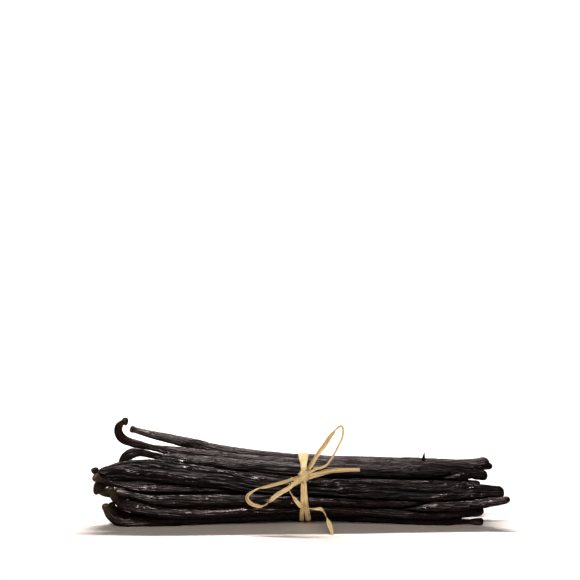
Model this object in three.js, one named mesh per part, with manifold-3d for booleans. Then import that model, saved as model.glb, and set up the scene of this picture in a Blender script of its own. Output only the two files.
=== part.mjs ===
// A bundle of cured vanilla pods lying on its side, tied round the middle with raffia.
// Millimetres, +Z up. X runs along the pods, stem ends at -X and blossom ends at +X.
// The bow faces -Y. The origin is under the middle of the bundle, on the surface it lies on.
import * as THREE from "three";
import { mergeVertices } from "three/addons/utils/BufferGeometryUtils.js";
import Module from "manifold-3d";

const wasm = await Module();
wasm.setup();

// ---- Driving dimensions -------------------------------------------------------------

// The bundle where the raffia holds it.
const TIE_X = 1.3; // middle of the wrap along the pods
const TIE_RAISE = 0.8; // the wrap passes under the lowest pods
const TIE_SPREAD = [6, 26]; // how far from the tie they are back down on the surface
const TIE_LEAN = 0.6; // share of its end-to-end slope that a pod keeps through the tie

// One pod of full size.
const POD_WIDTH = 7.2; // across the flat of the pod
const POD_THICKNESS = 4.2;
const THICKNESS_SHARE = 0.45; // how much of a narrower or wider pod's difference is in its thickness too
const STALK = [[2.2, 1], [6, 1.25]]; // distances from the stem end, and the thin stalk's radius there
const KNOB_RADIUS = 1.45; // scar left where the pod was picked
const KNOB_SHARE = 0.83; // its half length as a share of its radius
const KNOB_BLUNT = 2.5; // above 2, the scar is squarer than a half round
const NECK_START = 2; // where the neck starts to widen, from the stem end
const TIP_TAPER = 26; // length over which the pod narrows towards the blossom end
const TIP_SHARE = 0.66; // width left at the end of that taper
const TIP_ROUND = 2.4; // length of the rounded blossom end
const TIP_BLUNT = 2.6; // above 2, it is squarer than a half round
const CURL_TIGHTEN = 1.3; // above 1, a curl is tighter towards its end
const WAVE_HEIGHT = 0.35; // slow bends that no pod is without
const WAVE_LENGTH = 62;
const WAVE_RATIO = 1.31; // the bends up and down, against those to the sides
const WAVE_SHIFT = 2.4; // from one pod to the next, radians
const WAVE_FADE = 0.25; // share of a pod's half over which the bends fade at the tie
const FLOOR_FLAT = 0.3; // how far a soft pod presses flat on the surface
const TWIST_FROM = 0.5; // share of a pod's half, from the tie, over which it keeps its roll

// The facets of one pod.
const POD_SIDES = 8;
const FACET_GAIN = 1.04; // so that the facets enclose what a round section would
const STEM_STATIONS = [0.4, 1.8, 3.2, 5.6, 8.4, 11.4, 15, 20, 28];
const TIP_STATIONS = [18, 7, 2, 0.4]; // from the blossom end
const MIDDLE_STATIONS = 5;

// Raffia.
const STRAP_THICKNESS = 0.4;
const STRAP_WIDTH = 2.5;
const STRAP_PINCH = 1.6; // its width where the knot gathers it
const STRAP_GAP = 0.3; // clear of the pods
const STRAP_STEPS = 40;
const STRAP_TURNS = [
  { over: -0.1, under: 0.2 }, // the two turns, by where they cross the top and the underside
  { over: 1.5, under: 3.5 },
];
const STRAP_FUNNEL = [0.1, 1.1]; // turn from the knot over which a strap spreads, radians
const WRAP_HALF = 5; // the stretch of pods that the wrap lies on, each way from its middle
const KNOT = { x: 1.1, depth: -18.4, height: 21.8, radius: 1.9, flat: 0.95, sides: 10, rows: 7 };
const STRAND_RADIUS = 0.65; // a raffia strip with its edges curled in
const STRAND_SIDES = 8;
const STRAND_STEP = 2.2;

// A dry spur left standing on one pod.
const SPUR = { x: 53.1, depth: 2, foot: 23.6, top: 28.6, radius: 0.8, sides: 5 };

// The filling between the pods, which no view reaches.
const HEART = { left: -52, right: 58, depth: 11.5, height: 9.6, middle: [0.5, 14], rings: 7, sides: 12 };

// What the surface cuts away lies in a block this long, deep and thick.
const UNDERSIDE = [300, 120, 20];
const WELD = 1e-4; // corners nearer than this are one corner

// ---- Where the pods lie -------------------------------------------------------------

// tie: depth and height under the wrap. stem and tip: the two ends as
// [x, depth, height], the rise of the last stretch in mm per mm, and a curl
// { up, out, length, tighten }: degrees turned upwards and towards the back, and its length.
// share: width left at the blossom end, where it isn't TIP_SHARE. neck: where the pod has
// its full width, from the stem end. thin: where it starts to widen, if not at NECK_START.
// width: a share of POD_WIDTH. stalk and knob: where they aren't STALK and KNOB_RADIUS.
// roll: how far the pod's flat is turned up on edge at the stem end, tie and tip, degrees.
const NEAR_PODS = [
  { name: "hooked", tie: [-5, 25], width: 0.9, thin: 24, neck: 42, roll: [10, 10, 0],
    knob: 1.6, stalk: [[2.6, 1], [5.5, 1.5], [11, 1.75], [17, 1.6], [24, 1.15], [30, 1.3]],
    stem: { at: [-74.2, -3.4, 34.2], rise: 0.26, curl: { up: 180, out: 4, length: 14.2, tighten: 1.3 } },
    tip: { at: [76, -1, 22.2], rise: -0.02 } },
  { name: "straight top", tie: [2.6, 24.9], width: 0.98, neck: 26, roll: [0, 5, 20],
    knob: 1.4, stalk: [[2, 1.1], [9, 1.25]],
    stem: { at: [-74, 3, 38.9], rise: 0.31 },
    tip: { at: [81.6, 2, 23.4], rise: 0.05, share: 0.86 } },
  { name: "arched", tie: [-11, 23.6], width: 1.05, thin: 16, neck: 27, roll: [0, 14, 30],
    knob: 1.9, stalk: [[1.8, 1.9], [6, 2.05], [12, 1.25], [17, 1.2]],
    stem: { at: [-67.4, -9.2, 30.2], rise: 0.18, curl: { up: -100, out: 0, length: 11.4 } },
    tip: { at: [80.1, -4, 19.6], rise: -0.12, share: 0.7 } },
  { name: "broad", tie: [-16, 16.8], width: 1.16, neck: 17, roll: [75, 72, 40],
    knob: 1.5, stalk: [[2.3, 1], [4, 1.9]],
    stem: { at: [-84.2, -13.6, 22.8], rise: -0.14, curl: { up: 84, out: 0, length: 4.6 } },
    tip: { at: [86.2, -13, 13.8], rise: -0.04 } },
  { name: "blunt stem", tie: [-12, 14.6], width: 0.98, thin: 9, neck: 28, roll: [60, 20, 10],
    knob: 1.75, stalk: [[2.6, 0.95], [6, 0.75], [14, 0.8]],
    stem: { at: [-77.2, -16.2, 18.2], rise: 0.14, curl: { up: 22, out: 0, length: 11.6 } },
    tip: { at: [83, -12, 11.4], rise: -0.05 } },
  { name: "down hook", tie: [-9.2, 18], width: 0.92, neck: 22, roll: [10, 10, 10],
    knob: 1.5, stalk: [[1.6, 1.6], [4, 2.1], [8, 1.9], [12, 1.4]],
    stem: { at: [-81, -10.6, 18], rise: 0.2, curl: { up: -125, out: 0, length: 10 } },
    tip: { at: [76.6, -7, 16.2], rise: -0.06 } },
  { name: "nubbed", tie: [-16.4, 12.2], width: 0.98, thin: 5, neck: 18, roll: [50, 30, 10],
    knob: 1.3, stalk: [[1.2, 1.25], [8, 1.5]],
    stem: { at: [-79, -17, 14.7], rise: 0.12 },
    tip: { at: [76, -11, 9.2], rise: 0 } },
  { name: "up curl", tie: [-14.9, 8.8], width: 1, neck: 30, roll: [40, 40, 10],
    knob: 1.5, stalk: [[2.2, 1.35], [6, 1.7]],
    stem: { at: [-69.7, -17.5, 8.5], rise: 0.17, curl: { up: 71, out: 0, length: 15.2 } },
    tip: { at: [77.6, -14, 6], rise: 0.05 } },
  { name: "floor curl", tie: [-11, 5.4], width: 1, neck: 9, roll: [20, 20, 40],
    knob: 1.6, stalk: [[2.2, 1.4], [6, 1.7]],
    stem: { at: [-73.6, -14.4, 2.2], rise: 0, curl: { up: 84, out: 0, length: 13.6 } },
    tip: { at: [88.2, -17.6, 12.1], rise: 0.13, share: 0.42 } },
  { name: "turned floor", tie: [-6.4, 2.9], width: 1.02, thin: 8, neck: 26, roll: [0, 0, 0],
    knob: 1.4, stalk: [[2.6, 1.3], [6, 0.85], [11, 0.9], [15, 1.3]],
    stem: { at: [77.4, -14.4, 1.3], rise: 0 },
    tip: { at: [-52.5, -9.4, 1.9], rise: 0, share: 0.8 } },
];

const FAR_PODS = [
  { name: "far top", tie: [8.8, 23.4], width: 0.95, neck: 30, roll: [0, -10, 0],
    stem: { at: [-68, 12.6, 17.4], rise: -0.1, curl: { up: -20, out: 50, length: 9 } },
    tip: { at: [83.4, 6.5, 21.6], rise: -0.03 } },
  { name: "far shoulder", tie: [13.8, 20], width: 1, neck: 24, roll: [-20, -50, -20],
    stem: { at: [-71, 16, 13], rise: -0.12, curl: { up: 44, out: 6, length: 9 } },
    tip: { at: [66, 12.4, 20.6], rise: 0.08 } },
  { name: "far broad", tie: [16.6, 15.6], width: 1.12, neck: 18, roll: [-60, -78, -50],
    stem: { at: [-66, 19, 15], rise: 0.04, curl: { up: 0, out: 24, length: 8 } },
    tip: { at: [74, 17.4, 13.4], rise: -0.06 } },
  { name: "turned far side", tie: [16.8, 11], width: 0.95, neck: 30, roll: [-60, -76, -60],
    stem: { at: [70, 18.4, 15.8], rise: 0.1, curl: { up: 64, out: 0, length: 9 } },
    tip: { at: [-74, 17.6, 7], rise: -0.04 } },
  { name: "far lower side", tie: [14, 6.8], width: 1, neck: 30, roll: [-20, -40, -10],
    stem: { at: [-62, 15.4, 3], rise: 0, curl: { up: 46, out: 34, length: 11 } },
    tip: { at: [77, 19, 5], rise: 0.04 } },
  { name: "far floor", tie: [8.8, 4], width: 1, neck: 28, roll: [-10, -10, 0],
    stem: { at: [-73, 11, 1.1], rise: 0, curl: { up: 14, out: -30, length: 6 } },
    tip: { at: [68, 13, 1.6], rise: 0 } },
  { name: "middle floor", tie: [2.4, 2.9], width: 0.98, neck: 12, roll: [40, 0, 0],
    stem: { at: [-71.6, -6, 2.2], rise: 0, curl: { up: 72, out: -14, length: 13 } },
    tip: { at: [70, -2.4, 1.6], rise: 0 } },
];

const HEART_PODS = [
  { name: "end on", tie: [-2.4, 21], width: 0.95, neck: 30, roll: [0, 0, 0],
    stem: { at: [-62, -1, 20], rise: 0 },
    tip: { at: [66.6, -6, 19.6], rise: 0, share: 0.95, curl: { up: 0, out: -70, length: 5.6 } } },
  { name: "inner far top", tie: [5.6, 20], width: 0.95, neck: 30, roll: [0, 0, 0],
    stem: { at: [-70, 5, 14.6], rise: -0.06 },
    tip: { at: [71, 6, 16.6], rise: 0 } },
  { name: "inner middle", tie: [-1.4, 17], width: 0.95, neck: 30, roll: [0, 0, 0],
    knob: 1.8, stalk: [[2.2, 1.9], [6, 1.9]],
    stem: { at: [-82, -8, 13], rise: 0.05, curl: { up: 60, out: 0, length: 5 } },
    tip: { at: [72, 1, 14], rise: 0 } },
  { name: "inner far", tie: [9, 14.6], width: 0.95, neck: 30, roll: [0, 0, 0],
    stem: { at: [-76, 9.6, 10], rise: 0 },
    tip: { at: [62, 12, 11.6], rise: 0 } },
  { name: "inner near", tie: [-8.6, 10.4], width: 0.95, neck: 30, roll: [0, 0, 0],
    knob: 1.9, stalk: [[2.2, 1.9], [6, 2.1]],
    stem: { at: [-79.6, -13, 13.4], rise: 0 },
    tip: { at: [74, -5, 9], rise: 0 } },
  { name: "inner low", tie: [-3.4, 7], width: 0.95, neck: 10, roll: [50, 0, 0],
    knob: 1.8, stalk: [[2.2, 1.8], [6, 2]],
    stem: { at: [-79, -9, 7], rise: 0 },
    tip: { at: [68, -1, 6], rise: 0 } },
  { name: "inner far low", tie: [6, 7.4], width: 0.95, neck: 30, roll: [0, 0, 0],
    stem: { at: [-69, 4, 7], rise: 0 },
    tip: { at: [78, 8.4, 8], rise: 0.04 } },
];

// The free strands of the bow, from the knot outwards, [x, depth, height].
const LEFT_LOOP = [
  [-1.4, -20.4, 22.1], [-4.2, -20.8, 21.3], [-8.1, -21.4, 20.1], [-13, -22, 18.9],
  [-17.8, -22.3, 17.7], [-20.6, -22.5, 16.4], [-22.7, -22.6, 14.5], [-22.4, -22.6, 12.4],
  [-20.5, -22.6, 10.9], [-18, -22.6, 10.2], [-15.5, -22.6, 10.6], [-13.4, -22.6, 12.2],
  [-11.3, -22.6, 14.2], [-8.6, -22.6, 16.1], [-5, -22.6, 18.3], [-2.3, -22.5, 20.5],
  [-1, -22.4, 21.4],
];
const RIGHT_LOOP = [
  [2.6, -19.4, 24.8], [3.9, -19.4, 26.7], [5.8, -19.4, 30.1], [7.8, -19.4, 33.3],
  [9.7, -19.3, 35.7], [11.2, -19.2, 38.1], [12.9, -19.1, 40.4], [14.6, -19, 42.4],
  [16.3, -18.9, 43.6], [17.4, -18.8, 43], [17.6, -18.8, 41.4], [17.2, -18.8, 38.8],
  [16.1, -18.9, 36.2], [14.8, -19.1, 33.8], [13.5, -19.4, 31.3], [12.1, -19.8, 29.2],
  [10.4, -20.2, 27.1], [8.2, -20.6, 26.2], [6.3, -20.9, 25.9], [4.5, -21.1, 25], [3.1, -21.2, 24],
];
const FRONT_TAIL = [
  [-0.2, -20.1, 19.9], [-2.3, -20.2, 18.7], [-4.4, -20.4, 17.6], [-5, -20.6, 16.4],
  [-4.3, -20.8, 15.1], [-3, -21.1, 13.2], [-1.5, -21.3, 11.3], [0, -21.5, 9.8], [1.9, -21.7, 9.2],
  [4, -22, 9], [6.1, -22.3, 9], [8, -22.8, 9.1], [9.2, -23.8, 8.2], [10.3, -25.4, 6.5],
  [11.3, -27.2, 4.5], [12.1, -29, 2.7], [12.7, -30.8, 1.1], [13.2, -32, 0.7],
];
const RIGHT_TAIL = [
  [1.4, -20, 21.9], [4, -20.2, 22.4], [7.8, -19.6, 23.3], [12.1, -19, 24.3],
  [16.3, -18.6, 24.6], [20.5, -18.2, 24.7], [24.7, -17.8, 24.7],
];

const PODS = [...NEAR_PODS, ...FAR_PODS, ...HEART_PODS];

// ---- Shapes -------------------------------------------------------------------------

const HALF_STEPS = 36; // along each half of a pod's centre line
const CURL_STEPS = 14;
const TURN = 2 * Math.PI;
const UP = new THREE.Vector3(0, 0, 1);
const BACK = new THREE.Vector3(0, 1, 0);

function smooth(from, to, value) {
  return THREE.MathUtils.smoothstep(value, from, to);
}

// One half of a pod, from the tie to an end: a cubic from the slot to the end, then the curl.
function halfRoute(tie, end, slope) {
  const way = Math.sign(end.at[0]);
  const start = new THREE.Vector3(TIE_X, tie[0], tie[1]);
  const finish = new THREE.Vector3(...end.at);
  const span = Math.abs(finish.x - start.x) / 3;
  const leave = new THREE.Vector3(1, ...slope).multiplyScalar(way * span).add(start);
  const side = (finish.y - start.y) / (3 * span);
  const arrive = new THREE.Vector3(way, side, end.rise).multiplyScalar(-span).add(finish);
  const points = new THREE.CubicBezierCurve3(start, leave, arrive, finish).getPoints(HALF_STEPS);
  if (!end.curl) {
    return points;
  }
  const step = end.curl.length / CURL_STEPS;
  const pitch = Math.atan(end.rise);
  const yaw = Math.atan(side);
  for (let i = 0; i < CURL_STEPS; i++) {
    const share = ((i + 0.5) / CURL_STEPS) ** (end.curl.tighten ?? CURL_TIGHTEN);
    const up = pitch + THREE.MathUtils.degToRad(end.curl.up) * share;
    const out = yaw + THREE.MathUtils.degToRad(end.curl.out) * share;
    const heading = new THREE.Vector3(
      way * Math.cos(up) * Math.cos(out),
      Math.sin(out),
      Math.sin(up) * Math.cos(out),
    );
    points.push(points.at(-1).clone().addScaledVector(heading, step));
  }
  return points;
}

// The whole centre line, from the stem end to the blossom end, with its running length.
function podRoute(pod) {
  const length = pod.tip.at[0] - pod.stem.at[0];
  const slope = [1, 2].map((axis) => (TIE_LEAN * (pod.tip.at[axis] - pod.stem.at[axis])) / length);
  const stem = halfRoute(pod.tie, pod.stem, slope).reverse();
  const tip = halfRoute(pod.tie, pod.tip, slope);
  const points = [...stem, ...tip.slice(1)];
  const run = [0];
  for (let i = 1; i < points.length; i++) {
    run.push(run[i - 1] + points[i].distanceTo(points[i - 1]));
  }
  return { points, run, length: run.at(-1), stemLength: run[stem.length - 1] };
}

function pointAt(route, distance) {
  const along = THREE.MathUtils.clamp(distance, 0, route.length);
  let i = 1;
  while (i < route.run.length - 1 && route.run[i] < along) {
    i++;
  }
  const share = (along - route.run[i - 1]) / (route.run[i] - route.run[i - 1]);
  return route.points[i - 1].clone().lerp(route.points[i], share);
}

// The value at a distance, eased between [distance, value] stops.
function eased(stops, distance) {
  const past = stops.findIndex(([place]) => place > distance);
  const next = past < 0 ? stops.length - 1 : Math.max(1, past);
  const [from, low] = stops[next - 1];
  const [to, high] = stops[next];
  return THREE.MathUtils.lerp(low, high, smooth(from, to, distance));
}

// Half height of a rounded end, from 1 at its middle to 0 at a share of 1 outwards.
function bluntEnd(share, power) {
  return (1 - Math.min(1, share) ** power) ** (1 / power);
}

// Half width and half thickness of a pod at a distance from its stem end.
function podGirth(pod, distance, length) {
  const grown = smooth(pod.thin ?? NECK_START, pod.neck, distance);
  const stalk = eased(pod.stalk ?? STALK, distance);
  const left = length - distance;
  const narrowed = THREE.MathUtils.lerp(pod.tip.share ?? TIP_SHARE, 1, smooth(0, TIP_TAPER, left));
  const rounded = bluntEnd(1 - Math.min(1, left / TIP_ROUND), TIP_BLUNT);
  const knobRadius = pod.knob ?? KNOB_RADIUS;
  const knobHalf = KNOB_SHARE * knobRadius;
  const knob = knobRadius * bluntEnd(Math.abs(distance / knobHalf - 1), KNOB_BLUNT);
  const thickness = POD_THICKNESS * (1 + THICKNESS_SHARE * (pod.width - 1));
  return [POD_WIDTH * pod.width, thickness].map((full) => {
    const half = THREE.MathUtils.lerp(stalk, (full / 2) * narrowed, grown) * rounded;
    return distance < knobHalf ? knob : Math.max(half, knob);
  });
}

// A closed skin over rings of points, with a point at each end.
function skin(rings, first, last) {
  const sides = rings[0].length;
  const points = [first, ...rings.flat(), last];
  const faces = [];
  const at = (ring, side) => 1 + ring * sides + (side % sides);
  for (let side = 0; side < sides; side++) {
    faces.push(0, at(0, side + 1), at(0, side));
    for (let ring = 0; ring < rings.length - 1; ring++) {
      faces.push(at(ring, side), at(ring, side + 1), at(ring + 1, side + 1));
      faces.push(at(ring, side), at(ring + 1, side + 1), at(ring + 1, side));
    }
    faces.push(points.length - 1, at(rings.length - 1, side), at(rings.length - 1, side + 1));
  }
  const geometry = new THREE.BufferGeometry().setFromPoints(points);
  geometry.setIndex(faces);
  return geometry;
}

// Where the rings of a pod stand, measured from its stem end.
function podStations(length) {
  const from = STEM_STATIONS.at(-1);
  const step = (length - TIP_STATIONS[0] - from) / (MIDDLE_STATIONS + 1);
  const middle = Array.from({ length: MIDDLE_STATIONS }, (_, i) => from + step * (i + 1));
  return [...STEM_STATIONS, ...middle, ...TIP_STATIONS.map((back) => length - back)];
}

// Points round a centre, as shares of the two half axes, from a share of one step on.
function around(sides, offset = 0) {
  return Array.from({ length: sides }, (_, side) => {
    const turn = ((side + offset) / sides) * TURN;
    return [Math.cos(turn), Math.sin(turn)];
  });
}

function middleOf(ring) {
  return ring.reduce((sum, point) => sum.add(point), new THREE.Vector3()).divideScalar(ring.length);
}

// The point that closes a skin: past a ring, on the way from the next one.
function pointPast(ring, next, reach) {
  const from = middleOf(ring);
  const way = from.clone().sub(middleOf(next)).normalize();
  return from.addScaledVector(way, reach);
}

function podShape(pod, index) {
  const route = podRoute(pod);
  const rolls = pod.roll.map(THREE.MathUtils.degToRad);
  const stations = podStations(route.length);
  const rings = stations.map((distance) => {
    const [halfWidth, halfThickness] = podGirth(pod, distance, route.length);
    const along = pointAt(route, distance + 0.5).sub(pointAt(route, distance - 0.5)).normalize();
    const depth = BACK.clone().addScaledVector(along, -BACK.dot(along)).normalize();
    const rise = new THREE.Vector3().crossVectors(along, depth);
    const pastTie = distance - route.stemLength;
    const beforeTie = Math.max(0, -pastTie / route.stemLength);
    const afterTie = Math.max(0, pastTie / (route.length - route.stemLength));
    const toStem = (rolls[0] - rolls[1]) * smooth(TWIST_FROM, 1, beforeTie);
    const toTip = (rolls[2] - rolls[1]) * smooth(TWIST_FROM, 1, afterTie);
    const roll = rolls[1] + toStem + toTip;
    const flat = depth.clone().multiplyScalar(Math.cos(roll)).addScaledVector(rise, Math.sin(roll));
    const thin = depth.clone().multiplyScalar(-Math.sin(roll)).addScaledVector(rise, Math.cos(roll));
    const centre = pointAt(route, distance);
    const away = beforeTie + afterTie;
    const sway = WAVE_HEIGHT * away * smooth(0, WAVE_FADE, away);
    const phase = (distance / WAVE_LENGTH) * TURN + index * WAVE_SHIFT;
    centre.addScaledVector(depth, sway * Math.sin(phase));
    centre.addScaledVector(rise, sway * Math.cos(phase * WAVE_RATIO));
    const reach = Math.hypot(halfWidth * flat.z, halfThickness * thin.z);
    const nearTie = 1 - smooth(...TIE_SPREAD, Math.abs(centre.x - TIE_X));
    const lowest = reach - FLOOR_FLAT + (TIE_RAISE + FLOOR_FLAT) * nearTie;
    centre.z = Math.max(centre.z, lowest);
    return around(POD_SIDES, 0.5).map(([across, over]) =>
      centre
        .clone()
        .addScaledVector(flat, FACET_GAIN * halfWidth * across)
        .addScaledVector(thin, FACET_GAIN * halfThickness * over),
    );
  });
  const first = pointPast(rings[0], rings[1], stations[0]);
  const last = pointPast(rings.at(-1), rings.at(-2), route.length - stations.at(-1));
  return skin(rings, first, last);
}

function heartShape() {
  const [depth, height] = HEART.middle;
  const rings = Array.from({ length: HEART.rings }, (_, i) => {
    const share = (i + 0.5) / HEART.rings;
    const bulge = Math.sqrt(Math.sin(Math.PI * share));
    const x = THREE.MathUtils.lerp(HEART.left, HEART.right, share);
    return around(HEART.sides).map(
      ([across, over]) =>
        new THREE.Vector3(x, depth + HEART.depth * bulge * across, height + HEART.height * bulge * over),
    );
  });
  const [left, right] = [HEART.left, HEART.right].map((x) => new THREE.Vector3(x, depth, height));
  return skin(rings, left, right);
}

function spurShape() {
  const spur = new THREE.ConeGeometry(SPUR.radius, SPUR.top - SPUR.foot, SPUR.sides);
  return spur.rotateX(Math.PI / 2).translate(SPUR.x, SPUR.depth, (SPUR.top + SPUR.foot) / 2);
}

// ---- Booleans -----------------------------------------------------------------------

function toSolid(geometry) {
  const bare = geometry.clone();
  bare.deleteAttribute("normal");
  bare.deleteAttribute("uv");
  const merged = mergeVertices(bare, WELD);
  return new wasm.Manifold(
    new wasm.Mesh({
      numProp: 3,
      vertProperties: new Float32Array(merged.attributes.position.array),
      triVerts: new Uint32Array(merged.index.array),
    }),
  );
}

function toGeometry(solid) {
  const { vertProperties, triVerts } = solid.getMesh();
  const geometry = new THREE.BufferGeometry();
  geometry.setAttribute("position", new THREE.BufferAttribute(new Float32Array(vertProperties), 3));
  geometry.setIndex(new THREE.BufferAttribute(new Uint32Array(triVerts), 1));
  geometry.computeVertexNormals();
  return geometry;
}

function joined(geometries) {
  return geometries.map(toSolid).reduce((whole, piece) => whole.add(piece));
}

// ---- Raffia -------------------------------------------------------------------------

// The pods' skin under the wrap: its corners, and where its edges leave that stretch.
function heldPoints(geometry) {
  const low = TIE_X - WRAP_HALF;
  const high = TIE_X + WRAP_HALF;
  const position = geometry.attributes.position;
  const cornerAt = (_, i) => new THREE.Vector3().fromBufferAttribute(position, i);
  const corners = Array.from({ length: position.count }, cornerAt);
  const points = corners.filter((corner) => corner.x > low && corner.x < high);
  const index = geometry.index.array;
  for (let i = 0; i < index.length; i++) {
    const from = corners[index[i]];
    const to = corners[index[i % 3 === 2 ? i - 2 : i + 1]];
    for (const plane of [low, high]) {
      if (from.x < plane !== to.x < plane) {
        points.push(from.clone().lerp(to, (plane - from.x) / (to.x - from.x)));
      }
    }
  }
  return points;
}

// Corners of a taut loop round the points, standing off from them, as [depth, height]:
// where the straight lines that just clear the points, each turned a step further, meet.
function tautLoop(points, standOff) {
  const headings = Array.from({ length: STRAP_STEPS }, (_, i) => (i / STRAP_STEPS) * TURN);
  const reaches = headings.map((heading) => {
    const away = points.map((point) => point.y * Math.cos(heading) + point.z * Math.sin(heading));
    return Math.max(...away) + standOff;
  });
  return headings.map((heading, i) => {
    const next = (i + 1) % STRAP_STEPS;
    const [here, there] = [reaches[i], reaches[next]];
    const depth = here * Math.sin(headings[next]) - there * Math.sin(heading);
    const height = there * Math.cos(heading) - here * Math.cos(headings[next]);
    return [depth, height].map((share) => share / Math.sin(headings[next] - heading));
  });
}

// One turn of the wrap: a flat band round the bundle, closed on itself.
function strap(points, turn) {
  const [middleDepth, middleHeight] = HEART.middle;
  const knotHeading = Math.atan2(KNOT.height - middleHeight, KNOT.depth - middleDepth);
  const inner = tautLoop(points, STRAP_GAP);
  const outer = tautLoop(points, STRAP_GAP + STRAP_THICKNESS);
  const rows = inner.map(([depth, height], i) => {
    const heading = Math.atan2(height - middleHeight, depth - middleDepth);
    const turned = THREE.MathUtils.euclideanModulo(heading - knotHeading + Math.PI, TURN);
    const spread = smooth(...STRAP_FUNNEL, Math.abs(turned - Math.PI));
    const place = THREE.MathUtils.lerp(turn.under, turn.over, (1 + Math.sin(heading)) / 2);
    const x = THREE.MathUtils.lerp(KNOT.x, place, spread);
    const half = THREE.MathUtils.lerp(STRAP_PINCH, STRAP_WIDTH, spread) / 2;
    return [
      new THREE.Vector3(x - half, depth, height),
      new THREE.Vector3(x + half, depth, height),
      new THREE.Vector3(x + half, ...outer[i]),
      new THREE.Vector3(x - half, ...outer[i]),
    ];
  });
  const faces = [];
  const at = (row, corner) => (row % rows.length) * 4 + (corner % 4);
  for (let row = 0; row < rows.length; row++) {
    for (let corner = 0; corner < 4; corner++) {
      faces.push(at(row, corner), at(row + 1, corner + 1), at(row + 1, corner));
      faces.push(at(row, corner), at(row, corner + 1), at(row + 1, corner + 1));
    }
  }
  const geometry = new THREE.BufferGeometry().setFromPoints(rows.flat());
  geometry.setIndex(faces);
  return geometry;
}

// A strand of raffia along a route.
function strand(route) {
  const points = route.map((point) => new THREE.Vector3(...point));
  const path = new THREE.CatmullRomCurve3(points, false, "centripetal");
  const corners = around(STRAND_SIDES).map((corner) => new THREE.Vector2(...corner));
  const section = new THREE.Shape(corners.map((corner) => corner.multiplyScalar(STRAND_RADIUS)));
  const steps = Math.ceil(path.getLength() / STRAND_STEP);
  return new THREE.ExtrudeGeometry(section, { steps, extrudePath: path, bevelEnabled: false });
}

function knotShape() {
  const knot = new THREE.SphereGeometry(KNOT.radius, KNOT.sides, KNOT.rows);
  return knot.scale(1, KNOT.flat, 1).translate(KNOT.x, KNOT.depth, KNOT.height);
}

// ---- The model ----------------------------------------------------------------------

const podSkin = new THREE.MeshStandardMaterial({ color: 0x2b1f19, roughness: 0.45, metalness: 0 });
const raffia = new THREE.MeshStandardMaterial({ color: 0xd9bd80, roughness: 0.6, metalness: 0 });

const underside = new THREE.BoxGeometry(...UNDERSIDE).translate(0, 0, -UNDERSIDE[2] / 2);
const podSolid = joined([heartShape(), spurShape(), ...PODS.map(podShape)]);
const podGeometry = toGeometry(podSolid.subtract(toSolid(underside)));

const held = heldPoints(podGeometry);
const straps = STRAP_TURNS.map((turn) => strap(held, turn));
const wrap = joined([...straps, knotShape(), strand(RIGHT_TAIL)]);

const bundle = new THREE.Group();

function addPiece(name, geometry, material) {
  const mesh = new THREE.Mesh(geometry, material);
  mesh.name = name;
  bundle.add(mesh);
}

addPiece("pods", podGeometry, podSkin);
addPiece("raffia_wrap", toGeometry(wrap), raffia);
addPiece("raffia_left_loop", strand(LEFT_LOOP), raffia);
addPiece("raffia_right_loop", strand(RIGHT_LOOP), raffia);
addPiece("raffia_front_tail", strand(FRONT_TAIL), raffia);

export default bundle;
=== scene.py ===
"""A bundle of cured vanilla pods, tied with raffia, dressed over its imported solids.

Lengths are in millimetres and reach Blender in metres through MM. Only the floor and the lamps
are in metres. X runs along the pods from the stem ends to the blossom ends, Y away from the
bow, Z up.
"""
import math

import bpy
import numpy as np
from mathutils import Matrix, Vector


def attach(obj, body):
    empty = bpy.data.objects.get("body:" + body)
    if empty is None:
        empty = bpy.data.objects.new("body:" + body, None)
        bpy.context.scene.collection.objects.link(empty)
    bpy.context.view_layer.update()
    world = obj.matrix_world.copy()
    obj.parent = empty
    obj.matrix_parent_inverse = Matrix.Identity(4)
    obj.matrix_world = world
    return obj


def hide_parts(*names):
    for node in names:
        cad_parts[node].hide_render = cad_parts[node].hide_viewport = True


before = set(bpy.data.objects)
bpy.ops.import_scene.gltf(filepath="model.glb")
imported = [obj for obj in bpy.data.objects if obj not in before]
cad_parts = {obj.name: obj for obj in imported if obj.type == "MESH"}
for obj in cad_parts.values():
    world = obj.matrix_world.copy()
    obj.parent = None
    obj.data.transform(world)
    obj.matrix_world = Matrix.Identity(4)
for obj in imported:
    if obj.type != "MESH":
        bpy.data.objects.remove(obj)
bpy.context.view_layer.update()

MM = 0.001
TURN = 2 * math.pi

# ---- Driving sizes ------------------------------------------------------------------

# The bundle where the raffia holds it.
TIE_X = 1.3
TIE_RAISE = 0.8  # the wrap passes under the lowest pods
TIE_SPREAD = (6, 26)  # how far from the tie they are back down on the surface
TIE_LEAN = 0.6  # share of its end-to-end slope that a pod keeps through the tie

# One pod of full size.
POD_WIDTH = 7.2
POD_THICKNESS = 4.2
THICKNESS_SHARE = 0.45  # how much of a pod's extra width its thickness follows
STALK = ((2.2, 1.0), (6, 1.25))  # distances from the stem end and the radius there
KNOB_RADIUS = 1.45  # scar left where the pod was picked
KNOB_SHARE = 0.83  # its half length as a share of its radius
KNOB_BLUNT = 2.5  # above 2, the scar is squarer than a half round
NECK_START = 2  # where it starts to widen, from the stem end
TIP_TAPER = 26  # the stretch before the blossom end over which it narrows
TIP_SHARE = 0.66  # and the share of its width that is left there
TIP_ROUND = 2.4  # length of the rounded end
TIP_BLUNT = 2.6  # above 2, the blossom end is squarer than a half round
WAVE_HEIGHT = 0.35  # slow waves of the centre line
WAVE_LENGTH = 62
WAVE_RATIO = 1.31  # waves up and down for each wave to and fro
WAVE_SHIFT = 2.4  # from one pod to the next, in radians
WAVE_FADE = 0.25  # share of a pod's half, from the tie, over which they grow
FLOOR_FLAT = 0.3  # how far the lowest pods are pressed flat on the surface
CURL_TIGHTEN = 1.3  # above 1, a curl is tighter towards its end
TWIST_FROM = 0.5  # share of a pod's half, from the tie, over which it keeps its roll

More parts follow.
